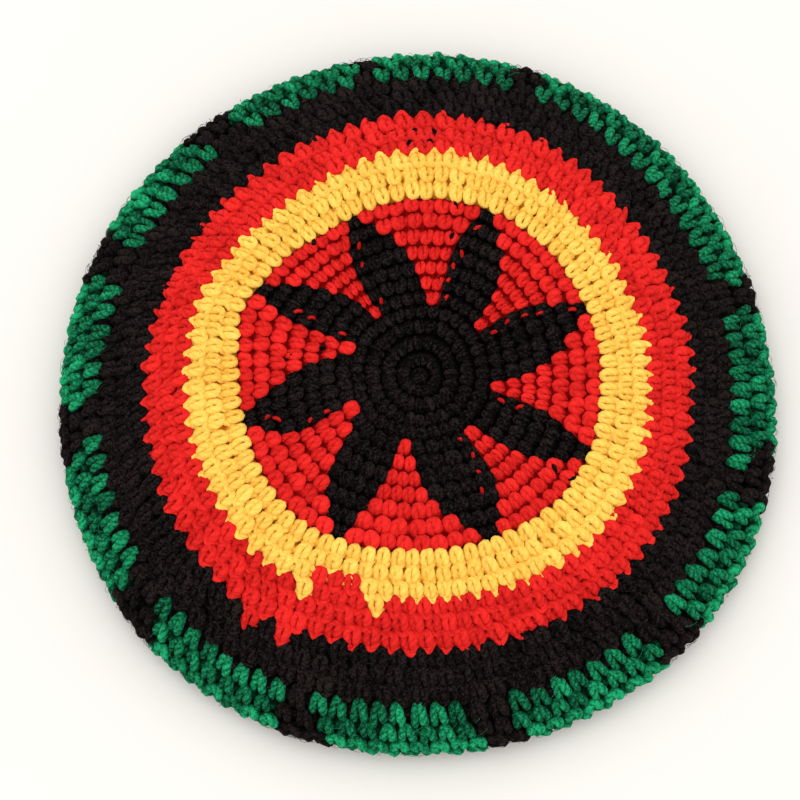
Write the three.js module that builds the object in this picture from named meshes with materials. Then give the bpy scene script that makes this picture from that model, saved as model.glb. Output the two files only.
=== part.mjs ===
// Crocheted rasta tam lying on its opening, crown up, in millimetres with +Z up.
// It is a hollow shell of thick yarn fabric, worked in rounds from the middle of the crown outwards,
// over the rim, back in under the crown and down into a straight head band.
// Each colour of yarn is its own solid: a black star with eight petals, red fields between the petals,
// gold, red and black bands, green blocks and black spacers along the rim, the black fold under the rim,
// the black underside and the head band.
import * as THREE from "three";

// Driving dimensions, in millimetres
const crownRadius = 144; // middle of the tam to the widest point of its rim
const crownHeight = 57; // table to the top of the crown
const openingRadius = 82; // inside of the head band
const bandHeight = 20; // straight part of the head band
const wall = 4.5; // thickness of the crocheted fabric
const seam = 0.3; // clearance between two colours of yarn

// Numbers of facets
const ringFacets = 64; // round the gold and the red band
const petalFacets = 4; // across one petal of the star
const fieldFacets = 4; // across one red field between two petals
const spacerFacets = 2; // across one black spacer on the rim
const blockFacetAngle = 6.4; // degrees of rim that one facet of a green block takes

// Yarn colours
const yarn = {
  black: { color: 0x141212, roughness: 0.95, metalness: 0 },
  red: { color: 0xe0191e, roughness: 0.9, metalness: 0 },
  gold: { color: 0xfac850, roughness: 0.9, metalness: 0 },
  green: { color: 0x0a8250, roughness: 0.9, metalness: 0 },
};

// Section of the crown and underside, one row for each station, counted in crocheted rounds from the
// middle. reach is a share of crownRadius and height a share of crownHeight. shiftX and shiftY move
// the middle of that round sideways, as shares of crownRadius, because the crown lies a little askew.
const widestRound = 28.6;
const touchRound = 32; // where the fold meets the table
const crownSection = [
  { round: 0, reach: 0, height: 0.955, shiftX: -0.0185, shiftY: -0.0085 },
  { round: 4, reach: 0.158, height: 0.965, shiftX: -0.015, shiftY: -0.01 },
  { round: 8, reach: 0.315, height: 0.99, shiftX: -0.009, shiftY: -0.015 },
  { round: 12.5, reach: 0.4925, height: 1, shiftX: 0.0015, shiftY: -0.0192 },
  { round: 16.5, reach: 0.6263, height: 0.955, shiftX: -0.0007, shiftY: -0.0208 },
  { round: 20.5, reach: 0.756, height: 0.74, shiftX: -0.001, shiftY: -0.0122 },
  { round: 24.5, reach: 0.891, height: 0.485, shiftX: -0.005, shiftY: -0.0035 },
  { round: 26.6, reach: 0.962, height: 0.345, shiftX: -0.002, shiftY: -0.001 },
  { round: widestRound, reach: 1, height: 0.2, shiftX: 0, shiftY: 0 },
  { round: 30.5, reach: 0.985, height: 0.07, shiftX: 0, shiftY: 0 },
  { round: touchRound, reach: 0.935, height: 0, shiftX: 0, shiftY: 0 },
  { round: 33.5, reach: 0.88, height: 0, shiftX: 0, shiftY: 0 },
];

// Rounds at which the yarn changes colour
const starEdge = 12.5;
const goldEdge = 16.5;
const redEdge = 20.5;
const blackEdge = 24.5;
const blockEdge = 30.5;
const foldEdge = 34;
const bandEdge = 40.5;
const lastRound = 44.5;

// Inner part of the underside, which climbs from the table to the top of the head band. rise is a
// share of the way up to the band's top, and inward a share of the way in to the band's outer face.
const undersideSection = [
  { round: 36.5, inward: 0.37, rise: 0.33 },
  { round: 39.5, inward: 0.78, rise: 0.83 },
  { round: bandEdge, inward: 0.92, rise: 1 },
];

// Head band, straight down to the table. drop is a share of bandHeight.
const bandSection = [
  { round: 41.3, drop: 0.08 },
  { round: 43, drop: 0.55 },
  { round: lastRound, drop: 1 },
];

// Unevenness of the rounds, as it lies on the table: lobes round the tam, the angle of the first lobe
// in degrees, and how far it pushes the fabric out at each colour change, as shares of crownRadius.
const spreadWaves = [
  { lobes: 2, angle: 85, atStar: 0.0014, atGold: 0.0014, atRed: 0.0076, atBlack: 0.0132, atRim: 0.0056 },
  { lobes: 3, angle: -35.3, atStar: 0.0051, atGold: 0.0132, atRed: 0.0118, atBlack: 0.0111, atRim: 0.0069 },
  { lobes: 4, angle: -35.8, atStar: 0.0076, atGold: 0.0035, atRed: 0.0042, atBlack: 0.0042, atRim: 0.0063 },
];

// Shallow folds of the crown, in the same way, as shares of crownHeight up and down.
const foldWaves = [
  { lobes: 2, angle: 30, atStar: 0.012, atGold: 0.018, atRed: 0.02, atBlack: 0.016, atRim: 0 },
  { lobes: 3, angle: 170, atStar: 0.006, atGold: 0.014, atRed: 0.018, atBlack: 0.014, atRim: 0 },
  { lobes: 7, angle: 12, atStar: 0, atGold: 0.004, atRed: 0.012, atBlack: 0.018, atRim: 0 },
];

// Petals of the star, counter-clockwise, as angles in degrees of their two edges: at the base, half
// way out and at the tip. Each petal leans, so its right edge sweeps further than its left edge.
const petals = [
  { rightBase: -6.3, leftBase: 34.8, rightMiddle: 5.5, leftMiddle: 32, rightTip: 21, leftTip: 24.8 },
  { rightBase: 38.9, leftBase: 72.7, rightMiddle: 52, leftMiddle: 74, rightTip: 66.5, leftTip: 69.5 },
  { rightBase: 83.4, leftBase: 120.1, rightMiddle: 96.3, leftMiddle: 118.8, rightTip: 111, leftTip: 114 },
  { rightBase: 126.4, leftBase: 154.8, rightMiddle: 138, leftMiddle: 155.8, rightTip: 149, leftTip: 152.2 },
  { rightBase: 168.8, leftBase: 206.1, rightMiddle: 182.6, leftMiddle: 206.2, rightTip: 193.4, leftTip: 197 },
  { rightBase: 221.1, leftBase: 257.2, rightMiddle: 230.2, leftMiddle: 250.8, rightTip: 242, leftTip: 245.6 },
  { rightBase: 268.9, leftBase: 303.1, rightMiddle: 277, leftMiddle: 302.6, rightTip: 291.4, leftTip: 294.8 },
  { rightBase: 315.3, leftBase: 349.4, rightMiddle: 322.6, leftMiddle: 342.4, rightTip: 332, leftTip: 336 },
];
const petalStart = 5; // round where the red fields begin
const petalBase = 5.7;
const petalMiddle = 9.3;
const fieldStartWidth = 7; // degrees, one stitch of the round where the fields begin

// Black spacers between the green blocks of the rim: angle of each one's middle, in degrees, and its
// width as a share of the rim's circle. One stretch of the rim has no spacer, so its block is long.
const spacers = [
  { angle: 18.3, width: 0.0165 },
  { angle: 71.9, width: 0.0155 },
  { angle: 98.7, width: 0.0165 },
  { angle: 127, width: 0.018 },
  { angle: 154.3, width: 0.0175 },
  { angle: 185.6, width: 0.018 },
  { angle: 218.4, width: 0.0175 },
  { angle: 250.6, width: 0.0215 },
  { angle: 283.2, width: 0.0225 },
  { angle: 316.4, width: 0.0185 },
  { angle: 346.3, width: 0.0175 },
];

const fullTurn = 360;

// Straight-line reading of one column of a table at a round
function readColumn(rows, column, round) {
  const last = rows.length - 1;
  const next = rows.findIndex((row) => row.round >= round);
  if (next <= 0) return rows[next === 0 ? 0 : last][column];
  const before = rows[next - 1];
  const after = rows[next];
  const share = (round - before.round) / (after.round - before.round);
  return THREE.MathUtils.lerp(before[column], after[column], share);
}

// The whole section as stations in millimetres, from the middle of the crown to the band's lower edge
const bandFace = openingRadius + wall;
const rest = crownSection[crownSection.length - 1];
const restReach = rest.reach * crownRadius;
const stations = [
  ...crownSection.map((row) => ({
    round: row.round,
    reach: row.reach * crownRadius,
    height: row.height * crownHeight,
    shiftX: row.shiftX * crownRadius,
    shiftY: row.shiftY * crownRadius,
  })),
  ...undersideSection.map((row) => ({
    round: row.round,
    reach: THREE.MathUtils.lerp(restReach, bandFace, row.inward),
    height: row.rise * bandHeight,
    shiftX: 0,
    shiftY: 0,
  })),
  ...bandSection.map((row) => ({
    round: row.round,
    reach: bandFace,
    height: (1 - row.drop) * bandHeight,
    shiftX: 0,
    shiftY: 0,
  })),
];
const sectionCurve = new THREE.SplineCurve(stations.map((row) => new THREE.Vector2(row.reach, row.height)));

// Point of the section at a round: x is the reach from the axis, y the height above the table
function sectionPoint(round) {
  const last = stations.length - 1;
  const next = Math.max(1, stations.findIndex((row) => row.round >= round));
  const share = (round - stations[next - 1].round) / (stations[next].round - stations[next - 1].round);
  return sectionCurve.getPoint(Math.min((next - 1 + share) / last, 1));
}

// Sum of a table of waves at an angle and a round. The waves die out towards the head band.
const waveRounds = [
  { round: 0, column: null },
  { round: starEdge, column: "atStar" },
  { round: goldEdge, column: "atGold" },
  { round: redEdge, column: "atRed" },
  { round: blackEdge, column: "atBlack" },
  { round: widestRound, column: "atRim" },
  { round: rest.round, column: "atRim" },
  { round: bandEdge, column: null },
];
function sumWaves(waves, angle, round) {
  let sum = 0;
  for (const wave of waves) {
    const rows = waveRounds.map((row) => ({ round: row.round, size: row.column ? wave[row.column] : 0 }));
    const size = readColumn(rows, "size", round);
    sum += size * Math.cos(wave.lobes * THREE.MathUtils.degToRad(angle - wave.angle));
  }
  return sum;
}

// Outer face of the fabric, at an angle in degrees and a round
function outerPoint(angle, round) {
  const section = sectionPoint(round);
  const reach = section.x + crownRadius * sumWaves(spreadWaves, angle, round);
  const height = section.y + crownHeight * sumWaves(foldWaves, angle, round);
  const turn = THREE.MathUtils.degToRad(angle);
  return new THREE.Vector3(
    readColumn(stations, "shiftX", round) + reach * Math.cos(turn),
    readColumn(stations, "shiftY", round) + reach * Math.sin(turn),
    Math.max(height, 0),
  );
}

// Direction out of the fabric. The last round's is level, so that the band ends on a flat edge.
const probe = 0.05; // rounds and degrees between the points that give a direction
function outward(angle, round) {
  if (round === 0) return new THREE.Vector3(0, 0, 1);
  const turn = THREE.MathUtils.degToRad(angle);
  if (round === lastRound) return new THREE.Vector3(Math.cos(turn), Math.sin(turn), 0);
  const along = outerPoint(angle, round + probe).sub(outerPoint(angle, round - probe));
  const across = outerPoint(angle + probe, round).sub(outerPoint(angle - probe, round));
  return along.cross(across).normalize();
}

// Closed solid of fabric over a grid of cells. angles(round) gives the grid's lines round the tam at
// each of the rounds, and holds(i, j) says which cells the yarn colour takes. Every edge of the
// colour keeps half of the seam from its neighbour.
function fabricSolid({ rounds, angles, holds, closed }) {
  const lines = rounds.map((round) => angles(round));
  const across = lines[0].length - 1;
  const up = rounds.length - 1;
  const wrap = (i) => (closed ? (i + across) % across : i);
  const has = (i, j) => (closed || (i >= 0 && i < across)) && j >= 0 && j < up && holds(wrap(i), j);
  const atPole = (j) => rounds[j] === 0;
  const positions = [];
  const indices = [];
  const corners = new Map();

  function corner(i, j, inner) {
    const line = atPole(j) ? 0 : wrap(i);
    const name = `${line} ${j} ${inner}`;
    if (corners.has(name)) return corners.get(name);
    let sideways = 0;
    let outwards = 0;
    for (const di of [-1, 1]) {
      for (const dj of [-1, 1]) {
        if (!has(line + (di - 1) / 2, j + (dj - 1) / 2)) continue;
        sideways += di;
        outwards += dj;
      }
    }
    let round = rounds[j];
    let angle = lines[j][line];
    if (!atPole(j)) {
      const here = outerPoint(angle, round);
      const reach = sectionPoint(round).x;
      const step = outerPoint(angle, Math.min(round + probe, lastRound)).distanceTo(here) / probe;
      const isFreeEdge = round === lastRound;
      angle += (Math.sign(sideways) * THREE.MathUtils.radToDeg(seam / 2)) / reach;
      round += isFreeEdge ? 0 : (Math.sign(outwards) * (seam / 2)) / step;
    }
    const point = outerPoint(angle, round);
    if (inner) point.addScaledVector(outward(angle, round), -wall);
    positions.push(point.x, point.y, point.z);
    corners.set(name, positions.length / 3 - 1);
    return corners.get(name);
  }

  function face(a, b, c, d) {
    if (a !== b) indices.push(a, b, c);
    if (c !== d) indices.push(a, c, d);
  }

  for (let j = 0; j < up; j += 1) {
    for (let i = 0; i < across; i += 1) {
      if (!has(i, j)) continue;
      const outer = [corner(i, j, 0), corner(i, j + 1, 0), corner(i + 1, j + 1, 0), corner(i + 1, j, 0)];
      const inner = [corner(i, j, 1), corner(i, j + 1, 1), corner(i + 1, j + 1, 1), corner(i + 1, j, 1)];
      if (atPole(j)) {
        indices.push(outer[0], outer[1], outer[2]);
        indices.push(inner[0], inner[2], inner[1]);
      } else {
        face(outer[0], outer[1], outer[2], outer[3]);
        face(inner[0], inner[3], inner[2], inner[1]);
      }
      if (!has(i - 1, j)) face(outer[1], outer[0], inner[0], inner[1]);
      if (!has(i + 1, j)) face(outer[3], outer[2], inner[2], inner[3]);
      if (!has(i, j + 1)) face(outer[2], outer[1], inner[1], inner[2]);
      if (!has(i, j - 1) && !atPole(j)) face(outer[0], outer[3], inner[3], inner[0]);
    }
  }
  const geometry = new THREE.BufferGeometry();
  geometry.setAttribute("position", new THREE.Float32BufferAttribute(positions, 3));
  geometry.setIndex(indices);
  geometry.computeVertexNormals();
  return geometry;
}

const tam = new THREE.Group();
function addPiece(name, colour, geometry) {
  const piece = new THREE.Mesh(geometry, new THREE.MeshStandardMaterial(colour));
  piece.name = name;
  tam.add(piece);
}

// Evenly spread angles or rounds from one to another, without the last
function spread(from, to, count) {
  return Array.from({ length: count }, (_, i) => THREE.MathUtils.lerp(from, to, i / count));
}

// Curve through an edge's three angles, read at a round
function edgeAngle(base, middle, tip, round) {
  const s = (round - petalBase) / (starEdge - petalBase);
  const m = (petalMiddle - petalBase) / (starEdge - petalBase);
  const fromBase = (base * (s - m) * (s - 1)) / m;
  const fromMiddle = (middle * s * (s - 1)) / (m * (m - 1));
  const fromTip = (tip * s * (s - m)) / (1 - m);
  return fromBase + fromMiddle + fromTip;
}

// Right and left edge of a petal at a round, the petal after the last being the first one again
function petalEdges(number, round) {
  const turns = Math.floor(number / petals.length);
  const petal = petals[number - turns * petals.length];
  const at = Math.max(round, petalBase);
  return {
    right: edgeAngle(petal.rightBase, petal.rightMiddle, petal.rightTip, at) + turns * fullTurn,
    left: edgeAngle(petal.leftBase, petal.leftMiddle, petal.leftTip, at) + turns * fullTurn,
  };
}

// Right and left edge of the red field after a petal. It starts one stitch wide.
function fieldEdges(number, round) {
  const here = petalEdges(number, round);
  const next = petalEdges(number + 1, round);
  if (round >= petalBase) return { right: here.left, left: next.right };
  const middle = (here.left + next.right) / 2;
  return { right: middle - fieldStartWidth / 2, left: middle + fieldStartWidth / 2 };
}

// Lines of the star's grid: each petal's facets, then those of the field after it
function starAngles(round) {
  const lines = petals.flatMap((_, number) => {
    const right = fieldEdges(number - 1, round).left;
    const field = fieldEdges(number, round);
    return [...spread(right, field.right, petalFacets), ...spread(field.right, field.left, fieldFacets)];
  });
  return [...lines, lines[0] + fullTurn];
}

// Black star: a solid disc in the middle with eight petals that reach the gold band
const starRounds = [
  ...spread(0, petalStart, 2),
  petalStart,
  ...spread(petalBase, petalMiddle, 2),
  ...spread(petalMiddle, starEdge, 2),
  starEdge,
];
const facetsPerPetal = petalFacets + fieldFacets;
addPiece("star", yarn.black, fabricSolid({
  rounds: starRounds,
  angles: starAngles,
  holds: (i, j) => starRounds[j] < petalStart || i % facetsPerPetal < petalFacets,
  closed: true,
}));

// Red fields between the petals
petals.forEach((_, number) => {
  addPiece(`red_field_${number + 1}`, yarn.red, fabricSolid({
    rounds: starRounds.filter((round) => round >= petalStart),
    angles: (round) => {
      const { right, left } = fieldEdges(number, round);
      return [...spread(right, left, fieldFacets), left];
    },
    holds: () => true,
    closed: false,
  }));
});

// Plain band of one colour, on a grid with the given lines round the tam
function addBand(name, colour, rounds, lines) {
  addPiece(name, colour, fabricSolid({ rounds, angles: () => lines, holds: () => true, closed: true }));
}
const ringLines = [...spread(0, fullTurn, ringFacets), fullTurn];
addBand("gold_band", yarn.gold, [...spread(starEdge, goldEdge, 2), goldEdge], ringLines);
addBand("red_band", yarn.red, [...spread(goldEdge, redEdge, 2), redEdge], ringLines);

// Edges of a spacer, and of the green block that follows it
function spacerEdges(number) {
  const turns = Math.floor(number / spacers.length);
  const spacer = spacers[number - turns * spacers.length];
  const half = (spacer.width * fullTurn) / 2;
  return { right: spacer.angle - half + turns * fullTurn, left: spacer.angle + half + turns * fullTurn };
}
const blocks = spacers.map((_, number) => {
  const right = spacerEdges(number).left;
  const left = spacerEdges(number + 1).right;
  return { right, left, facets: Math.max(2, Math.round((left - right) / blockFacetAngle)) };
});

// Part of the rim between two angles, in one colour
const rimRounds = [...spread(blackEdge, blockEdge, 4), blockEdge];
function addRimPiece(name, colour, { right, left, facets }) {
  const lines = [...spread(right, left, facets), left];
  addPiece(name, colour, fabricSolid({
    rounds: rimRounds,
    angles: () => lines,
    holds: () => true,
    closed: false,
  }));
}
const rimLines = [];
spacers.forEach((_, number) => {
  const spacer = { ...spacerEdges(number), facets: spacerFacets };
  const block = blocks[number];
  addRimPiece(`rim_spacer_${number + 1}`, yarn.black, spacer);
  addRimPiece(`rim_block_${number + 1}`, yarn.green, block);
  rimLines.push(...spread(spacer.right, spacer.left, spacer.facets));
  rimLines.push(...spread(block.right, block.left, block.facets));
});
rimLines.push(rimLines[0] + fullTurn);

// The black bands follow the rim's lines: the one inside the green blocks, the fold under the rim where
// the tam lies on the table, the underside, which climbs to the head band, and the head band itself
addBand("black_band", yarn.black, [...spread(redEdge, blackEdge, 2), blackEdge], rimLines);
addBand("rim_fold", yarn.black, [blockEdge, touchRound, rest.round, foldEdge], rimLines);
addBand("underside", yarn.black, [...spread(foldEdge, bandEdge, 4), bandEdge], rimLines);
addBand("head_band", yarn.black, [bandEdge, ...bandSection.map((row) => row.round)], rimLines);

export default tam;
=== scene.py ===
import math

import bpy
import numpy as np
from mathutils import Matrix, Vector


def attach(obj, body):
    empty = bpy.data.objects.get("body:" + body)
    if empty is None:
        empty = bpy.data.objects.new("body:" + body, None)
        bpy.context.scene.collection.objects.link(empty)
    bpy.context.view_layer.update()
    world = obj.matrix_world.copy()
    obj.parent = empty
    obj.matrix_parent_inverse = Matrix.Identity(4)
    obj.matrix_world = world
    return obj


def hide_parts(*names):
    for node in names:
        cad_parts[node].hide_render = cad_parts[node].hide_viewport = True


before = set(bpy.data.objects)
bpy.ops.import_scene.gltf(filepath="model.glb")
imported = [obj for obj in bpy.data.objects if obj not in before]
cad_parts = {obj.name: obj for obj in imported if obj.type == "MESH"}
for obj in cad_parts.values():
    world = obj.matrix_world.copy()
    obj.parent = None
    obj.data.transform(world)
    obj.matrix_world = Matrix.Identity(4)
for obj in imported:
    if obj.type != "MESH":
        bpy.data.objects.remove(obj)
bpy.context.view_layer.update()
mm = 0.001
scene = bpy.context.scene


# Camera. The tam lies on a plain pale surface and is seen from 75 degrees above it, through a long
# lens, so that its outline keeps its shape.
picture_width = 800
sensor_width = 36
camera_distance = 1.5
camera_elevation = math.radians(75)
focal_pixels = 3796.9
look_at = Vector((-7.32 * mm, -5.26 * mm, 28 * mm))
camera_data = bpy.data.cameras.new("photo_camera")
camera_data.sensor_width = sensor_width
camera_data.lens = focal_pixels / picture_width * sensor_width
camera = bpy.data.objects.new("photo_camera", camera_data)
towards_camera = Vector((0, -math.cos(camera_elevation), math.sin(camera_elevation)))
camera.location = look_at + towards_camera * camera_distance
camera.rotation_mode = "QUATERNION"
camera.rotation_quaternion = (-towards_camera).to_track_quat("-Z", "Y")
scene.collection.objects.link(camera)
scene.camera = camera


# Surface under the tam: a plain board in a matt off-white that is a little cloudy. The tam only
# lies on it.
class Shade:
    """A shader value that does sums, so that a * b + c adds its Math nodes."""

    def __init__(self, tree, socket):
        self.tree = tree
        self.socket = socket

    def add(self, kind, settings=None, output=0, **values):
        """Add a node. Values are named by socket, or i0, i1 and so on for the socket's number."""
        node = self.tree.nodes.new(kind)
        for name, value in (settings or {}).items():
            if name == "stops":
                for element, (place, colour) in zip(node.color_ramp.elements, value):
                    element.position = place
                    element.color = (*colour, 1)
            else:
                setattr(node, name, value)
        for name, value in values.items():
            numbered = name[0] == "i" and name[1:].isdigit()
            socket = node.inputs[int(name[1:])] if numbered else node.inputs[name]
            if isinstance(value, Shade):
                self.tree.links.new(value.socket, socket)
            else:
                socket.default_value = value
        return Shade(self.tree, node.outputs[output])

    def sum_of(self, operation, *terms):
        values = {f"i{number}": term for number, term in enumerate(terms)}
        return self.add("ShaderNodeMath", {"operation": operation}, **values)

    def __add__(self, other):
        return self.sum_of("ADD", self, other)

    def __sub__(self, other):
        return self.sum_of("SUBTRACT", self, other)

    def __mul__(self, other):
        return self.sum_of("MULTIPLY", self, other)

    def __rsub__(self, other):
        return self.sum_of("SUBTRACT", other, self)

    __radd__ = __add__
    __rmul__ = __mul__


def new_material(name, roughness, specular):
    """An empty material, as a start for sums, and its Principled shader."""
    material = bpy.data.materials.new(name)
    material.use_nodes = True
    tree = material.node_tree
    tree.nodes.clear()
    shader = tree.nodes.new("ShaderNodeBsdfPrincipled")
    tree.links.new(shader.outputs[0], tree.nodes.new("ShaderNodeOutputMaterial").inputs[0])
    shader.inputs["Roughness"].default_value = roughness
    shader.inputs["Specular IOR Level"].default_value = specular
    return material, Shade(tree, None), shader


def feed(shader, name, value):
    value.tree.links.new(value.socket, shader.inputs[name])


board_material, start, shader = new_material("pale_board", roughness=0.9, specular=0.1)
place = start.add("ShaderNodeTexCoord", output=3)
cloud = start.add("ShaderNodeTexNoise", Vector=place, Scale=2.0, Detail=2.0)
tints = [(0.3, (0.84, 0.815, 0.79)), (0.7, (0.865, 0.84, 0.815))]
feed(shader, "Base Color", start.add("ShaderNodeValToRGB", {"stops": tints}, Fac=cloud))
board_half = 3
corners = [(-board_half, -board_half, 0), (board_half, -board_half, 0),
           (board_half, board_half, 0), (-board_half, board_half, 0)]
board_mesh = bpy.data.meshes.new("board")
board_mesh.from_pydata(corners, [], [(0, 1, 2, 3)])
board_mesh.materials.append(board_material)
board = bpy.data.objects.new("board", board_mesh)
scene.collection.objects.link(board)

# Light: a white studio all round, and one big soft panel high on the upper left, which points at the
# middle of the tam. Both are soft, so that the shadows stay faint.
world = bpy.data.worlds.new("studio")
world.use_nodes = True
world.node_tree.nodes["Background"].inputs["Color"].default_value = (1.0, 0.985, 0.965, 1)
world.node_tree.nodes["Background"].inputs["Strength"].default_value = 1.16
scene.world = world
panel_data = bpy.data.lights.new("soft_panel", "AREA")
panel_data.shape = "DISK"
panel_data.size = 1.2
panel_data.energy = 3.4
panel_data.color = (1.0, 0.985, 0.96)
tam_middle = Vector((0, 0, 30 * mm))
panel = bpy.data.objects.new("soft_panel", panel_data)
panel.location = (-0.3, 0.2, 1.6)
panel.rotation_mode = "QUATERNION"
panel.rotation_quaternion = (tam_middle - panel.location).to_track_quat("-Z", "Y")
scene.collection.objects.link(panel)
scene.view_settings.view_transform = "Standard"


# Form of the tam, the same as the frame's: a hollow crown worked in rounds from the middle out, over
# the rim, in under the crown and down into the head band. Rounds are counted, angles are in degrees.
crown_radius = 144 * mm
crown_height = 57 * mm
band_face = 86.5 * mm
band_height = 20 * mm
wall = 4.5 * mm
petal_start = 4.9
star_edge, gold_edge, red_edge, black_edge, block_edge = 12.5, 16.5, 20.5, 24.5, 30.5
fold_edge, band_edge, last_round = 34, 40.5, 44.5
full_turn = 360

# round, reach and height as shares of the crown's, and how far the round's middle lies off centre
crown_section = [
    (0, 0, 0.955, 0.002, -0.018),
    (4, 0.158, 0.965, -0.015, -0.01),
    (8, 0.315, 0.99, -0.009, -0.015),
    (12.5, 0.4925, 1, 0.0015, -0.0192),
    (16.5, 0.6263, 0.955, -0.0007, -0.0208),
    (20.5, 0.756, 0.74, -0.001, -0.0122),
    (24.5, 0.891, 0.485, -0.005, -0.0035),
    (26.6, 0.962, 0.345, -0.002, -0.001),
    (28.6, 1, 0.2, 0, 0),
    (30.5, 0.985, 0.07, 0, 0),
    (32, 0.935, 0, 0, 0),
    (33.5, 0.88, 0, 0, 0),
]
rest_round = crown_section[-1][0]
rest_reach = crown_section[-1][1] * crown_radius
# round, share of the way in to the head band, share of the way up to its top
underside_section = [(36.5, 0.37, 0.33), (39.5, 0.78, 0.83), (40.5, 0.92, 1)]
# round, share of the way down the head band
band_section = [(41.3, 0.08), (43, 0.55), (44.5, 1)]
stations = np.array(
    [(r, a * crown_radius, h * crown_height, x * crown_radius, y * crown_radius)
     for r, a, h, x, y in crown_section]
    + [(r, rest_reach + (band_face - rest_reach) * inward, rise * band_height, 0, 0)
       for r, inward, rise in underside_section]
    + [(r, band_face, (1 - drop) * band_height, 0, 0) for r, drop in band_section])

# lobes, angle of the first lobe, size at the star's, gold, red and black edge and at the rim
spread_waves = [
    (2, 85, 0.0014, 0.0014, 0.0076, 0.0132, 0.0056),
    (3, -35.3, 0.0051, 0.0132, 0.0118, 0.0111, 0.0069),
    (4, -35.8, 0.0076, 0.0035, 0.0042, 0.0042, 0.0063),
]
fold_waves = [
    (2, 30, 0.012, 0.018, 0.02, 0.016, 0),
    (3, 170, 0.006, 0.014, 0.018, 0.014, 0),
    (7, 12, 0, 0.004, 0.012, 0.018, 0),
]
widest_round = 28.6
wave_rounds = [0, star_edge, gold_edge, red_edge, black_edge, widest_round, rest_round, band_edge]


def wave_sum(waves, angle, at_round):
    total = 0
    for lobes, first, *sizes in waves:
        size = np.interp(at_round, wave_rounds, [0, *sizes, sizes[-1], 0])
        total = total + size * np.cos(lobes * np.radians(angle - first))
    return total


def read_curve(rows, place):
    """Points of a smooth curve through the rows, at places counted in rows from the first."""
    last = len(rows) - 1
    before = np.clip(np.floor(place).astype(int), 0, last - 1)
    t = (place - before)[..., None]
    p0, p1, p2, p3 = (rows[np.clip(before + step, 0, last)] for step in (-1, 0, 1, 2))
    v1, v2 = (p2 - p0) / 2, (p3 - p1) / 2
    return (2 * p1 - 2 * p2 + v1 + v2) * t ** 3 + (3 * p2 - 3 * p1 - 2 * v1 - v2) * t ** 2 + v1 * t + p1


def surface(angle, at_round):
    """Outer face of the fabric."""
    angle, at_round = np.broadcast_arrays(angle, np.clip(at_round, 0, last_round))
    place = np.interp(at_round, stations[:, 0], np.arange(len(stations)))
    reach, height = np.moveaxis(read_curve(stations[:, 1:3], place), -1, 0)
    reach = reach + crown_radius * wave_sum(spread_waves, angle, at_round)
    height = np.maximum(height + crown_height * wave_sum(fold_waves, angle, at_round), 0)
    x = np.interp(at_round, stations[:, 0], stations[:, 3]) + reach * np.cos(np.radians(angle))
    y = np.interp(at_round, stations[:, 0], stations[:, 4]) + reach * np.sin(np.radians(angle))
    return np.stack([x, y, height], -1)


def unit(vectors):
    return vectors / np.maximum(np.linalg.norm(vectors, axis=-1, keepdims=True), 1e-12)


def outward(angle, at_round):
    """Direction out of the fabric."""
    probe, nearest = 0.1, 0.4      # step to both sides, and the round nearest to the middle that has a slope
    near = np.clip(at_round, nearest, last_round - probe)
    along = surface(angle, near + probe) - surface(angle, near - probe)
    across = surface(angle + probe, near) - surface(angle - probe, near)
    return unit(np.cross(along, across))


# The rounds don't lie quite true to the form. Its middle rounds are pulled to the right, and here and
# there the bands bulge: middle angle and width of the place, in degrees, and by how many rounds at
# the gold band's two edges and at the red band's outer edge.
everywhere = 9999        # a width in degrees with which a bulge goes all round
bulges = [(0, everywhere, 0.12, 0.12, -0.03), (12, 14, 0.3, 0.3, 0.45), (90, 14, 0.25, 0.25, 0.3),
          (160, 10, 0.6, 0.6, 0), (232, 12, 0.25, 0.6, 0.35), (125, 12, -0.3, -0.3, 0)]
bulge_rounds = [8, star_edge, gold_edge, red_edge, 26]
# angle towards which the middle rounds are pulled, and by how many rounds
pull_angle = 5
pull_rounds = [0, 2, petal_start, 7, 9.3, star_edge]
pull_sizes = [0, 0.2, 0.5, 0.37, 0.15, 0]


def pulled(angle, at_round):
    """Round at which the work of a round lies."""
    aside = np.interp(at_round, pull_rounds, pull_sizes)
    moved = at_round + aside * np.cos(np.radians(angle - pull_angle))
    for middle, width, *sizes in bulges:
        off = ((angle - middle + full_turn / 2) % full_turn - full_turn / 2) / width
        moved = moved + np.interp(at_round, bulge_rounds, [0, *sizes, 0]) * np.exp(-off * off)
    return moved


def row_middles(start, end, rows):
    """Rounds of the middles of rows of stitches between two edges, and the rows' height."""
    height = (end - start) / rows
    return start + (np.arange(rows) + 0.5) * height, height


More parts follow.
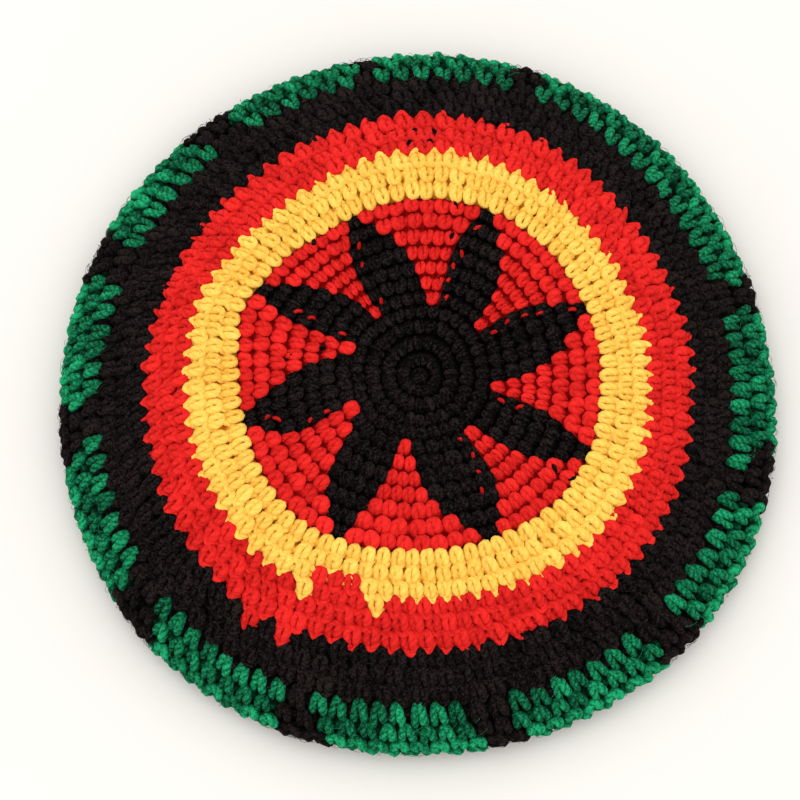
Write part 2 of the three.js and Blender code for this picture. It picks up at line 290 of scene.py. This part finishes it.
# Yarn: soft worsted acrylic of three plies, matt and a little fuzzy. Its colour and relief follow
# the plies along the strand, with painted shade in the ply grooves and a painted highlight along the
# strand's upper side, and every stitch is a little lighter or darker than the next.
def yarn_material(name, light, dark, contrast, fuzz, sheen, sheen_tint):
    material, start, shader = new_material(name, roughness=0.85, specular=0.05)
    wrap = start.add("ShaderNodeUVMap", {"uv_map": "strand"})
    around = start.add("ShaderNodeSeparateXYZ", Vector=wrap)
    length = start.add("ShaderNodeSeparateXYZ", output=1, Vector=wrap)
    plies, plies_per_mm = 3, 0.34
    full_turn_radians = 2 * math.pi
    lay = around * plies + length * plies_per_mm
    lay = lay.sum_of("FRACT", lay)
    # ridge is the plies' profile: it shapes the bump, and in the colour it puts painted shade into the
    # grooves between plies
    ridge = lay * (1 - lay) * 4
    place = start.add("ShaderNodeTexCoord", output=3)
    fibre = start.add("ShaderNodeTexNoise", Vector=place, Scale=1100.0, Detail=4.0)
    patch = start.add("ShaderNodeTexNoise", Vector=place, Scale=55.0, Detail=2.0)
    tone = start.add("ShaderNodeAttribute", {"attribute_name": "tone"}, output=2)
    # painted highlight: the strand's upper side is lighter and its underside darker
    painted_crest_light = around * full_turn_radians
    painted_crest_light = painted_crest_light.sum_of("SINE", painted_crest_light)
    # shares of the plies' painted shade, of soft patches, of each stitch's own tone with its painted shade,
    # and of the painted highlight on the strand's upper side
    ply_groove_shade_share, patch_share, tone_share, painted_crest_share, least = 0.25, 0.3, 0.25, 0.12, 0.1
    shade = (ridge * ply_groove_shade_share + (fibre - 0.5) * fuzz + patch * patch_share + tone * tone_share
             + painted_crest_light * painted_crest_share + least)
    shade = start.add("ShaderNodeClamp", Value=shade)
    shade = shade.sum_of("POWER", shade, contrast)
    # the mix runs from dark to light through the painted shade and highlights as well as through the yarn's
    # own random tones
    colour = start.add("ShaderNodeMix", {"data_type": "RGBA"}, output=2,
                       i0=shade, i6=(*dark, 1), i7=(*light, 1))
    feed(shader, "Base Color", colour)
    ply_height, fibre_height = 0.7, 0.5
    relief = start.add("ShaderNodeBump", Height=ridge * ply_height + fibre * fibre_height,
                       Strength=0.55, Distance=0.3 * mm)
    feed(shader, "Normal", relief)
    shader.inputs["Sheen Weight"].default_value = sheen
    shader.inputs["Sheen Roughness"].default_value = 0.5
    shader.inputs["Sheen Tint"].default_value = (*sheen_tint, 1)
    return material


# Half a stitch of single crochet, from the closed end of its bent strand, which lies over the round
# before, along one leg, which dives under the round after. Columns: sideways, in stitch widths,
# outwards, in stitch heights, depth of the strand's middle under the outer face, and its thickness.
leg_table = np.array([
    (0.0, -0.5, 1.3 * mm, 0.92),
    (0.125, -0.465, 1.15 * mm, 0.95),
    (0.215, -0.37, 1.0 * mm, 0.98),
    (0.25, -0.23, 0.95 * mm, 1.0),
    (0.24, -0.05, 1.0 * mm, 1.02),
    (0.205, 0.12, 1.25 * mm, 0.98),
    (0.16, 0.28, 1.75 * mm, 0.9),
    (0.13, 0.44, 2.5 * mm, 0.8),
])
# the loop over the top of a stitch, whose middle peeps out between the closed ends of the next round,
# with the same columns
loop_table = np.array([
    (-0.4, 0.24, 2.5 * mm, 0.75),
    (-0.24, 0.4, 1.6 * mm, 0.8),
    (-0.08, 0.55, 1.05 * mm, 0.78),
    (0.05, 0.62, 0.95 * mm, 0.74),
    (0.17, 0.53, 1.15 * mm, 0.78),
    (0.3, 0.38, 1.8 * mm, 0.78),
    (0.42, 0.2, 2.6 * mm, 0.75),
])
strand_share = 0.255            # half of the strand's thickness, in stitch widths
thickest_strand = 1.75 * mm     # the most that this half may be
groove_depth = 3.4 * mm         # depth of the backing in the grooves between rows
soft_rise = 3.0 * mm            # how far it stands up behind the middle of a row
# how far single stitches stray from even work, in stitch widths and heights
width_stray, side_stray, height_stray, out_stray = 0.06, 0.035, 0.04, 0.035
lean, lean_stray = 0.14, 0.05           # a stitch's top leans over to its left
skew, skew_stray = -0.04, 0.05          # its left leg lies further in than its right one
tilt, tilt_stray = -0.25, 0.22          # and less deep, in mm
depth_stray, strand_stray = 0.2 * mm, 0.07
# depth in mm at which a strand has its full colour, and the painted shade that each mm under that takes off
# its tone, so that strands darken where they dive into the pits between rows
lit_depth, painted_shade_per_mm = 1.1, 0.5
draw = np.random.default_rng(1147)


class Piece:
    """Strands and backing of one piece, gathered as closed faces with their strand map and tones."""

    def __init__(self):
        self.points, self.faces, self.maps, self.tones = [], [], [], []
        self.count = 0

    def gather(self, points, faces, maps, tones):
        self.points.append(points)
        self.faces += [block + self.count for block in faces]
        self.maps += maps
        self.tones.append(tones)
        self.count += len(points)

    def strands(self, middle, up, size, sides, painted_shade=0):
        """Tubes round rows of points. middle and up are strands x rings x 3. The last argument darkens the
        yarn's tone with painted shade, or lightens it with painted light where it is below zero.
        """
        number, rings = middle.shape[:2]
        along = unit(np.gradient(middle, axis=1))
        sideways = unit(np.cross(along, up))
        lift = np.cross(sideways, along)
        turn = 2 * math.pi * np.arange(sides) / sides
        points = middle[:, :, None] + size[:, :, None, None] * (
            np.cos(turn)[:, None] * sideways[:, :, None] + np.sin(turn)[:, None] * lift[:, :, None])
        strand, ring, side = np.meshgrid(
            np.arange(number), np.arange(rings - 1), np.arange(sides), indexing="ij")
        base = strand * rings * sides + ring * sides
        beside = base + (side + 1) % sides
        quads = np.stack([base + side, base + side + sides, beside + sides, beside], -1).reshape(-1, 4)
        run = np.cumsum(np.linalg.norm(np.diff(middle, axis=1, prepend=middle[:, :1]), axis=-1), 1) / mm
        longest_lay = 10         # each strand's twist starts somewhere else, by up to so many mm
        run = run + draw.uniform(0, longest_lay, (number, 1))
        u = np.stack([side, side, side + 1, side + 1], -1) / sides
        v0, v1 = run[:, :-1, None] + 0 * side, run[:, 1:, None] + 0 * side
        v = np.stack([v0, v1, v1, v0], -1)
        start_cap = np.arange(number)[:, None] * rings * sides + np.arange(sides)
        end_cap = (start_cap + (rings - 1) * sides)[:, ::-1]
        blank = np.zeros((number * sides, 2))
        # each strand's own random tone, less its painted shade
        tones = np.repeat(draw.uniform(0, 1, (number, 1)) - painted_shade + 0 * size, sides)
        self.gather(points.reshape(-1, 3), [quads, start_cap, end_cap],
                    [np.stack([u, v], -1).reshape(-1, 2), blank, blank], tones)

    def stitches(self, angles, widths, at_round, tall=1, fine=True, table=leg_table, loops=False, light=0):
        """Stitches at the given middle angles, with their widths in degrees and heights in rounds."""
        if not len(angles):
            return
        leg_points, loop_points, sides = (8, 9, 7) if fine else (6, 9, 6)
        grow, shift, sway, stretch, slip, twist, sink, tip = draw.normal(0, 1, (8, len(angles), 1))
        leg = read_curve(table, np.linspace(0, len(table) - 1, leg_points))
        paths = [np.concatenate([leg[:0:-1] * (-1, 1, 1, 1), leg])]
        if loops:
            paths.append(read_curve(loop_table, np.linspace(0, len(loop_table) - 1, loop_points)))
        for path in paths:
            left = path[:, 0] / path[:, 0].max()
            across = (path[:, 0] * (1 + width_stray * grow) + side_stray * shift
                      + (lean + lean_stray * sway) * path[:, 1])
            out = tall * (path[:, 1] * (1 + height_stray * stretch) + out_stray * slip
                          + (skew_stray * twist + skew) * left)
            depth = path[:, 2] + depth_stray * sink + (tilt_stray * tip + tilt) * mm * left
            angle = angles[:, None] + across * widths[:, None]
            place = pulled(angle, at_round + out)
            up = outward(angle, place)
            middle = surface(angle, place) - up * depth[..., None]
            reach = np.linalg.norm(surface(angles, at_round)[:, :2], axis=-1)
            size = np.minimum(strand_share * np.radians(widths) * reach, thickest_strand)
            uneven = 1 + strand_stray * left + strand_stray * draw.normal(0, 1, middle.shape[:2])
            size = size[:, None] * path[:, 3] * uneven
            # deeper strands get painted shade, and light takes some of it off as a painted highlight
            self.strands(middle, up, size, sides, (depth / mm - lit_depth) * painted_shade_per_mm - light)

    def specks(self, places, size, painted_shade):
        """Short humps of yarn that is carried along behind the work and peeps out between stitches, darkened
        with painted shade as they lie deep.
        """
        angles, rounds = np.array(places).T
        degrees_long, rounds_long, rings, sides = 4, 0.8, 9, 6
        # how far along, and depth in mm
        hump = np.array([(-0.3, 2.4), (-0.2, 0.8), (0, -0.1), (0.2, 0.8), (0.3, 2.4)])
        hump = read_curve(hump, np.linspace(0, len(hump) - 1, rings))
        angle = angles[:, None] + degrees_long * hump[:, 0] * draw.uniform(-1, 1, (len(angles), 1))
        place = rounds[:, None] + rounds_long * hump[:, 0]
        up = outward(angle, place)
        middle = surface(angle, place) - up * hump[:, 1:] * mm
        self.strands(middle, up, np.full(angle.shape, size), sides, painted_shade)

    def fuzz(self, angles, rounds):
        """Fine fibres that stand out of the yarn at the given places, painted lighter than the yarn as a
        painted sheen.
        """
        degrees_long, rounds_long, fibre_half, rings, sides, lighter = 2.2, 0.9, 0.075 * mm, 5, 3, 1
        foot, height, height_spread, bend = 0.1, 0.9, 0.6, 0.8      # in mm, and a share of a half turn
        step = np.linspace(0, 1, rings)
        aside, along, taller = draw.uniform(-1, 1, (3, len(angles), 1))
        angle = angles[:, None] + degrees_long * aside * step
        place = np.clip(rounds[:, None] + rounds_long * along * step, 0, last_round)
        up = outward(angle, place)
        stand = (foot + (height + height_spread * taller) * np.sin(math.pi * step * bend)) * mm
        middle = surface(angle, place) + up * stand[..., None]
        self.strands(middle, up, np.full(angle.shape, fibre_half), sides, -lighter)

    def backing(self, start, end, rows, edges, lines, row_rise=soft_rise):
        """Fabric behind rows of stitches, between two edges that edges(rounds) gives, or all round."""
        levels_a_row, painted_groove_shade, painted_rise_light_per_mm = 6, -1.6, 0.6
        rounds = np.linspace(start, end, levels_a_row * rows + 1)
        rise = np.sin(math.pi * rows * (rounds - start) / (end - start)) ** 2
        right, left = edges(rounds)
        share = np.arange(lines + 1) / lines
        angle = right[:, None] + (left - right)[:, None] * share
        place = pulled(angle, rounds[:, None] + 0 * angle)
        closed = np.allclose(left - right, full_turn)
        if closed:
            angle, place = angle[:, :-1], place[:, :-1]
        levels, columns = angle.shape
        up, face = outward(angle, place), surface(angle, place)
        depth = groove_depth - row_rise * rise[:, None, None]
        points = np.concatenate([(face - up * deep).reshape(-1, 3) for deep in (depth, wall)])
        j, i = (grid.ravel() for grid in np.meshgrid(
            np.arange(levels - 1), np.arange(columns if closed else columns - 1), indexing="ij"))
        after = (i + 1) % columns
        inner = levels * columns
        a, b, c, d = (j * columns + i, (j + 1) * columns + i, (j + 1) * columns + after, j * columns + after)
        quads = [np.stack([a, b, c, d], -1), np.stack([d, c, b, a], -1) + inner]
        for row, one, two in ((0, i, after), (levels - 1, after, i)):
            here = j == 0
            one, two = one[here] + row * columns, two[here] + row * columns
            quads.append(np.stack([one, two, two + inner, one + inner], -1))
        if not closed:
            level = np.arange(levels - 1) * columns
            for column, one, two in ((0, level + columns, level), (columns - 1, level, level + columns)):
                quads.append(np.stack([one, two, two + inner, one + inner], -1) + column)
        quads = np.concatenate(quads)
        spots = np.stack([np.concatenate([angle.ravel()] * 2) / 4, np.concatenate([place.ravel()] * 2)], -1)
        # painted shade: the backing is darkest in the grooves between rows and lighter where it rises behind
        # them
        tones = np.repeat(row_rise / mm * painted_rise_light_per_mm * rise + painted_groove_shade, columns)
        self.gather(points, [quads], [spots[quads.ravel()]], np.concatenate([tones, tones]))

    def finish(self, name, slot, material, *nodes):
        """Make the mesh, let it ride, and let it stand for its solids."""
        points = np.concatenate(self.points)
        points[:, 2] = np.maximum(points[:, 2], 0)
        mesh = bpy.data.meshes.new(name)
        sizes = np.concatenate([np.full(len(block), block.shape[1]) for block in self.faces])
        corners = np.concatenate([block.ravel() for block in self.faces])
        mesh.vertices.add(len(points))
        mesh.vertices.foreach_set("co", points.astype(np.float32).ravel())
        mesh.loops.add(len(corners))
        mesh.loops.foreach_set("vertex_index", corners.astype(np.int32))
        mesh.polygons.add(len(sizes))
        mesh.polygons.foreach_set("loop_start", (np.cumsum(sizes) - sizes).astype(np.int32))
        mesh.polygons.foreach_set("use_smooth", np.ones(len(sizes), bool))
        mesh.update(calc_edges=True)
        strand_map = mesh.uv_layers.new(name="strand")
        strand_map.data.foreach_set("uv", np.concatenate(self.maps).astype(np.float32).ravel())
        tone = mesh.attributes.new("tone", "FLOAT", "POINT")
        tone.data.foreach_set("value", np.concatenate(self.tones).astype(np.float32))
        mesh.materials.append(material)
        made = bpy.data.objects.new(name, mesh)
        scene.collection.objects.link(made)
        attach(made, "root")
        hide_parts(*nodes)


def all_round(rounds):
    return 0 * rounds, full_turn + 0 * rounds


def even_row(count, phase):
    """Middle angles and widths of evenly spread stitches. phase moves them, in stitches."""
    width = full_turn / count
    return (np.arange(count) + phase) * width % full_turn, np.full(count, width)


# Star: the middle of the crown, plain black rounds that grow by a few stitches each, and then eight
# black petals. Each petal's right edge steps in by a stitch a round, and its left edge stays straight.
black_yarn = yarn_material("black_yarn", light=(0.019, 0.013, 0.0125), dark=(0.0003, 0.0002, 0.0002),
                           contrast=2.6, fuzz=3, sheen=0.005, sheen_tint=(0.7, 0.55, 0.5))
eye = 0.15               # round of the small hole in the very middle
middle_counts = [7, 14, 21, 28, 35]
# half a stitch as in leg_table, but wider, as the rounds here are worked more firmly
firm_table = np.array([
    (0.0, -0.34, 1.4 * mm, 1.08),
    (0.14, -0.32, 1.25 * mm, 1.12),
    (0.23, -0.2, 1.1 * mm, 1.14),
    (0.245, -0.05, 1.1 * mm, 1.14),
    (0.23, 0.1, 1.35 * mm, 1.1),
    (0.18, 0.25, 2.0 * mm, 0.95),
    (0.11, 0.4, 3.0 * mm, 0.75),
])
firm_rise = 3.2 * mm
# right and left edge of each petal at the start, the base, half way out and at the tip
petal_rounds = [petal_start, 6.2, 9.3, star_edge]
petals = np.array([
    (-4.8, 31.8, -4.5, 33.6, 5.5, 32, 21, 24.8),
    (39.6, 70.3, 42.2, 72.3, 52, 74, 66.5, 69.5),
    (79.2, 115.8, 85.6, 119.6, 96.3, 118.8, 111, 114),
    (124.7, 153.4, 126.6, 155, 138, 155.8, 149, 152.2),
    (164.2, 204.5, 170.2, 206.4, 182.6, 206.2, 193.4, 197),
    (215.3, 258.1, 223.3, 256.7, 230.2, 250.8, 242, 245.6),
    (266.4, 308.6, 269.4, 308.6, 277, 305, 291.4, 295.2),
    (317.2, 345.8, 318.6, 346.4, 322.6, 342.4, 332, 336),
])
# black stitches across a petal and red ones after it, in each row out from the petals' start
petal_rows = [(4, 1), (4, 2), (4, 3), (4, 4), (4, 5), (3, 6), (2, 8)]


def petal_edges(number, rounds):
    """Right and left edge of a petal, the ninth being the first one again."""
    rows = petals[number % len(petals)].reshape(-1, 2)
    middle = rows[0].mean()
    edges = read_curve(rows, np.interp(pulled(middle, rounds), petal_rounds, range(len(rows))))
    return np.moveaxis(edges, -1, 0) + full_turn * (number // len(petals))


def spread(right, left, count):
    """Middle angles and widths of stitches side by side between two edges."""
    width = (left - right) / count
    return right + (np.arange(count) + 0.5) * width, np.full(count, width)


star = Piece()
star.backing(eye, petal_start, len(middle_counts), all_round, lines=48, row_rise=firm_rise)
plain_middles, _ = row_middles(0, petal_start, len(middle_counts))
for number, (at_round, count) in enumerate(zip(plain_middles, middle_counts)):
    star.stitches(*even_row(count, number / 2), at_round, table=firm_table)
petal_middles, petal_tall = row_middles(petal_start, star_edge, len(petal_rows))
for petal in range(len(petals)):
    star.backing(petal_start, star_edge, len(petal_rows), lambda r: petal_edges(petal, r),
                 lines=4, row_rise=firm_rise)
    for at_round, (black_count, _) in zip(petal_middles, petal_rows):
        right, left = petal_edges(petal, np.array([at_round]))[:, 0]
        star.stitches(*spread(right, left, black_count), at_round, petal_tall, table=firm_table)
# angle and round of the places in the red fields where the black yarn peeps out
star.specks([(127.4, 11.9), (164.5, 6.7), (171.7, 8.75), (78.4, 12.3), (76.3, 10.0), (232.1, 12.0),
             (325, 12.4), (324.6, 11.0)], size=0.9 * mm, painted_shade=1)
star.finish("star_stitches", "yarn_black", black_yarn, "star")


# Red fields between the petals: worked in the same rounds as the petals, with the red yarn carried
# along behind the black, so that it peeps out as a small dot near the left edge of each petal.
red_yarn = yarn_material("red_yarn", light=(0.91, 0.027, 0.023), dark=(0.27, 0.0004, 0.0004),
                         contrast=1, fuzz=0.7, sheen=0.015, sheen_tint=(1, 0.4, 0.35))
# angle and round of each dot
dots = [(113.5, 10.1), (115.4, 8.7), (113.7, 5.7), (151.3, 9.3), (150.8, 8.2), (150.2, 5.7), (68.6, 11),
        (69.9, 9), (71.3, 8), (71, 6.9), (68, 5.7), (28.1, 6.3), (30.3, 7.5), (29.1, 8.7), (26.9, 9.7),
        (23.6, 11.7), (204.2, 6.6), (204.7, 7.9), (196.6, 10.7), (198.4, 10.1), (342.2, 6.2), (342, 7.5),
        (304.3, 5.6), (304.7, 6.9), (301.7, 8.1), (298.4, 9.3)]


def field_edges(number, rounds):
    return petal_edges(number, rounds)[1], petal_edges(number + 1, rounds)[0]


fields = Piece()
for field in range(len(petals)):
    fields.backing(petal_start, star_edge, len(petal_rows), lambda r: field_edges(field, r),
                   lines=8, row_rise=firm_rise)
    for at_round, (_, red_count) in zip(petal_middles, petal_rows):
        (right,), (left,) = field_edges(field, np.array([at_round]))
        fields.stitches(*spread(right, left, red_count), at_round, petal_tall, table=firm_table)
fields.specks(dots, size=0.75 * mm, painted_shade=1.3)
fields.finish("red_field_stitches", "yarn_red", red_yarn, *[f"red_field_{n + 1}" for n in range(len(petals))])


# Gold band: three rounds of gold. Where each round joins, at the lower left, the next colour starts
# a round early or late, and a stitch strays over the line.
gold_yarn = yarn_material("gold_yarn", light=(0.94, 0.71, 0.14), dark=(0.76, 0.29, 0.01),
                          contrast=1, fuzz=0.7, sheen=0.02, sheen_tint=(1, 0.9, 0.6))
first_green = 24.25      # round where the black band ends and the first green stitches start
# edges of each band and the number of stitches in each of its rounds
bands = {
    "gold": (star_edge, gold_edge, [82, 83, 85]),
    "red": (gold_edge, red_edge, [86, 88, 91]),
    "black": (red_edge, first_green, [94, 98, 102]),
}
fewest = 82
slant = 0.54             # stitches that each round is shifted against the one before
golden_angle = 137.5     # from each added stitch to the next, which spreads them all round
ease = 5                 # degrees over which the stitches beside an added one make room
# band and round, from and to angle, colour of the stitches that stray over a line
strays = [(("gold", 2), 242, 254.5, "red"), (("red", 0), 239.8, 243, "gold"),
          (("red", 0), 258.5, 262, "gold"), (("black", 0), 242.5, 246, "red"),
          (("black", 0), 233, 237, "red")]


def worked_row(count, phase):
    """Middle angles and widths of a round's stitches. phase moves them, in stitches."""
    steps_a_degree = 10
    line = np.linspace(0, full_turn, full_turn * steps_a_degree + 1)
    added = np.arange(count - fewest) * golden_angle % full_turn
    turns = full_turn * np.array([-1, 0, 1])
    steps = 1 / (1 + np.exp(-(line[:, None, None] - added[:, None] - turns) / ease))
    worked = line * fewest / full_turn + (steps - steps[0]).sum((1, 2))
    place = np.arange(count) + phase % 1
    return np.interp(place, worked, line), 1 / np.interp(place, worked, np.gradient(worked, line))


def work_bands(piece, colour):
    """A colour's stitches: its own band's, and those that stray into another's."""
    phase = 0
    for band, (start, end, counts) in bands.items():
        middles, tall = row_middles(start, end, len(counts))
        for row, count in enumerate(counts):
            angles, widths = worked_row(count, phase)
            phase += slant
            used = np.full(count, band, object)
            for place, low, high, stray in strays:
                if place == (band, row):
                    used[(angles > low) & (angles < high)] = stray
            here = used == colour
            piece.stitches(angles[here], widths[here], middles[row], tall, loops=True)


gold_band = Piece()
gold_band.backing(star_edge, gold_edge, len(bands["gold"][2]), all_round, lines=96)
work_bands(gold_band, "gold")
gold_band.finish("gold_band_stitches", "yarn_gold", gold_yarn, "gold_band")


# Red band: three more rounds, of red yarn, worked on from the gold with a few more stitches in each.
# At the lower left some of its stitches stray into the gold and the black.
red_band = Piece()
red_band.backing(gold_edge, red_edge, len(bands["red"][2]), all_round, lines=96)
work_bands(red_band, "red")
red_band.finish("red_band_stitches", "yarn_red", red_yarn, "red_band")


# Black band: three rounds of black yarn that lead over to the rim. The black is carried on behind the
# rim's first round, so its backing runs on behind the inner ends of the green stitches.
rim_counts = [104, 106, 106, 104]        # stitches in each round of the rim
rim_middles, rim_tall = row_middles(first_green, block_edge, len(rim_counts))
green_backing = first_green + rim_tall
black_band = Piece()
black_band.backing(red_edge, first_green, len(bands["black"][2]), all_round, lines=112)
black_band.backing(first_green, green_backing, 1, all_round, lines=112)
work_bands(black_band, "black")
# angle and round of the places in the red band where the black yarn peeps out
black_band.specks([(96, 18.9), (90.9, 18.9), (86.5, 18.8), (92.1, 17.7), (87.5, 17.7)],
                  size=0.8 * mm, painted_shade=1)
fibres = 500
black_band.fuzz(draw.uniform(0, full_turn, fibres), draw.uniform(red_edge, first_green, fibres))
black_band.finish("black_band_stitches", "yarn_black", black_yarn, "black_band")


# Rim: four rounds of tall stitches in which blocks of green change with black spacers one to three
# stitches wide. Both yarns run on behind the other colour, so the blocks end a little ragged.
green_yarn = yarn_material("green_yarn", light=(0.014, 0.41, 0.165), dark=(0.0002, 0.01, 0.0042),
                           contrast=2.75, fuzz=1.2, sheen=0.006, sheen_tint=(0.4, 1, 0.7))
# half a stitch as in leg_table, but narrower, so that it stands clear of its neighbours
rim_table = np.array([
    (0.0, -0.46, 1.5 * mm, 0.9),
    (0.08, -0.4, 1.35 * mm, 0.95),
    (0.15, -0.26, 1.15 * mm, 1.0),
    (0.19, -0.06, 1.05 * mm, 1.05),
    (0.215, 0.14, 1.15 * mm, 1.05),
    (0.23, 0.3, 1.6 * mm, 1.0),
    (0.235, 0.43, 2.4 * mm, 0.95),
    (0.235, 0.55, 3.4 * mm, 0.85),
])
# middle angle of each spacer, and its width as a share of the rim
spacers = np.array([
    (18.3, 0.0165), (71.9, 0.0155), (98.7, 0.0165), (127, 0.018), (154.3, 0.0175), (185.6, 0.018),
    (218.4, 0.0175), (250.6, 0.0215), (283.2, 0.0225), (316.4, 0.0185), (346.3, 0.0175)])
spacer_right = spacers[:, 0] - spacers[:, 1] * full_turn / 2
spacer_left = spacers[:, 0] + spacers[:, 1] * full_turn / 2
# right and left end of each spacer's stitches, in the first and in the last round that shows
spacer_ends = np.array([
    (14.2, 18.4, 14.7, 21.9), (69, 72.9, 69.9, 74.8), (96.1, 99.9, 96.7, 101),
    (123.3, 127.4, 123.4, 130.8), (152.2, 158.6, 151.8, 160), (182, 186.4, 181.6, 191),
    (214.5, 219, 214.4, 223.1), (246.8, 251.7, 246.1, 255.6), (279.9, 284.6, 279.5, 288.3),
    (312.5, 317.1, 311.9, 320.9), (342, 346.1, 342.2, 351.5)])
outer_rows = green_backing + rim_tall    # from here on the rows are firmer, and close the rim's outline
inner_rise = 2 * mm                      # the backing lies lower before that
degrees_a_line = 4
outer_light = 0.5                        # the outer green stitches catch more light


def in_spacer(angles, at_round):
    share = np.clip((at_round - first_green) / (widest_round - first_green), 0, 1)
    right, left = (spacer_ends[:, :2] + (spacer_ends[:, 2:] - spacer_ends[:, :2]) * share).T
    return ((angles[:, None] - right) % full_turn < left - right).any(1)


def rim_backing(piece, right, left, lines):
    """Fabric behind a block or a spacer, whose two ends run straight out."""
    def ends(rounds):
        return right + 0 * rounds, left + 0 * rounds
    piece.backing(green_backing, outer_rows, 1, ends, lines, inner_rise)
    piece.backing(outer_rows, block_edge, 2, ends, lines, firm_rise)


blocks, spacer_piece = Piece(), Piece()
for number in range(len(spacers)):
    right, left = spacer_left[number], spacer_right[(number + 1) % len(spacers)]
    left += full_turn * (number == len(spacers) - 1)
    rim_backing(blocks, right, left, round((left - right) / degrees_a_line))
    rim_backing(spacer_piece, spacer_right[number], spacer_left[number], lines=2)
for row, (at_round, count) in enumerate(zip(rim_middles, rim_counts)):
    angles, widths = worked_row(count, slant * row)
    black = in_spacer(angles, at_round)
    table, light = (firm_table, outer_light) if at_round > outer_rows else (rim_table, 0)
    blocks.stitches(angles[~black], widths[~black], at_round, rim_tall, table=table, light=light)
    spacer_piece.stitches(angles[black], widths[black], at_round, rim_tall, table=table)
# fibres scattered over the whole rim, of which each colour keeps those that lie on its own stitches
for piece, wanted, count in ((blocks, False, 500), (spacer_piece, True, 2400)):
    angles, rounds = draw.uniform(0, full_turn, count), draw.uniform(first_green + 1, block_edge, count)
    here = np.array([in_spacer(angles[n:n + 1], rounds[n])[0] == wanted for n in range(count)])
    piece.fuzz(angles[here], rounds[here])
numbers = range(1, len(spacers) + 1)
blocks.finish("rim_block_stitches", "yarn_green", green_yarn, *[f"rim_block_{n}" for n in numbers])
spacer_piece.finish("rim_spacer_stitches", "yarn_black", black_yarn, *[f"rim_spacer_{n}" for n in numbers])


# Fold and underside: plain black rounds that turn in under the rim, where the tam lies on the
# surface, and grow smaller towards the head.
rim_fold, underside = Piece(), Piece()
for piece, start, end, counts in ((rim_fold, block_edge, fold_edge, [102, 100, 97]),
                                  (underside, fold_edge, band_edge, [94, 91, 88, 86, 83, 80])):
    piece.backing(start, end, len(counts), all_round, lines=96)
    middles, tall = row_middles(start, end, len(counts))
    for row, (at_round, count) in enumerate(zip(middles, counts)):
        piece.stitches(*even_row(count, slant * row), at_round, tall, fine=False)
rim_fold.finish("rim_fold_stitches", "yarn_black", black_yarn, "rim_fold")
underside.finish("underside_stitches", "yarn_black", black_yarn, "underside")


# Head band: four plain black rounds, straight down to the surface, finished with the last round's
# own edge.
band_rows, band_count = 4, 80
head_band = Piece()
head_band.backing(band_edge, last_round, band_rows, all_round, lines=96)
for row, at_round in enumerate(row_middles(band_edge, last_round, band_rows)[0]):
    head_band.stitches(*even_row(band_count, slant * row), at_round, fine=False)
head_band.finish("head_band_stitches", "yarn_black", black_yarn, "head_band")
